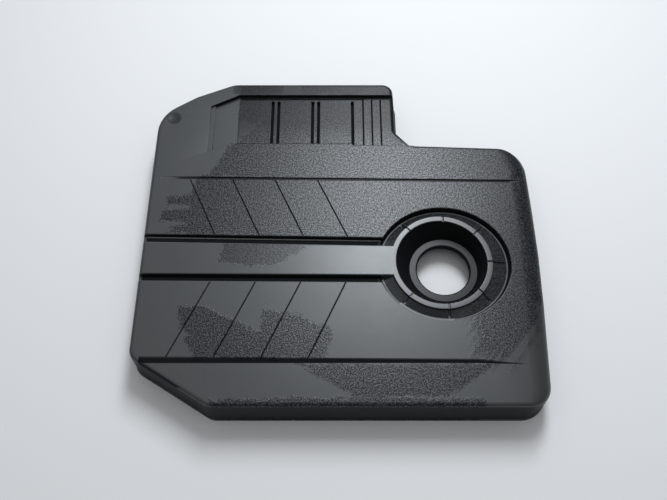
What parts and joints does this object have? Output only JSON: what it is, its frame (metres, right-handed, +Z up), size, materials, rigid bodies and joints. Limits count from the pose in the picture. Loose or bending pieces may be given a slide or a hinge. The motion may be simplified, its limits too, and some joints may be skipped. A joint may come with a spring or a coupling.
{
  "type": "engine cover",
  "caption": "Moulded black plastic engine cover with a deep filler funnel, a raised band, panel grooves and a barred recess, on push-fit rubber grommets.",
  "frame": {"origin": "middle of the bounding box, on the plane of the lower rim", "axes": "+X towards the side with the filler funnel, +Y towards the tongue with the barred recess, +Z up out of the top panel"},
  "size_m": [0.5112, 0.4694, 0.055],
  "materials": {
    "shell_plastic": "fine-grained injection moulding with a dull sheen",
    "grommet_rubber": "smooth moulded rubber"
  },
  "bodies": {
    "root": {"cover_shell": "shell_plastic", "grommet_front_left": "grommet_rubber", "grommet_front_right": "grommet_rubber", "grommet_rear_left": "grommet_rubber", "grommet_rear_right": "grommet_rubber"}
  },
  "joints": []
}
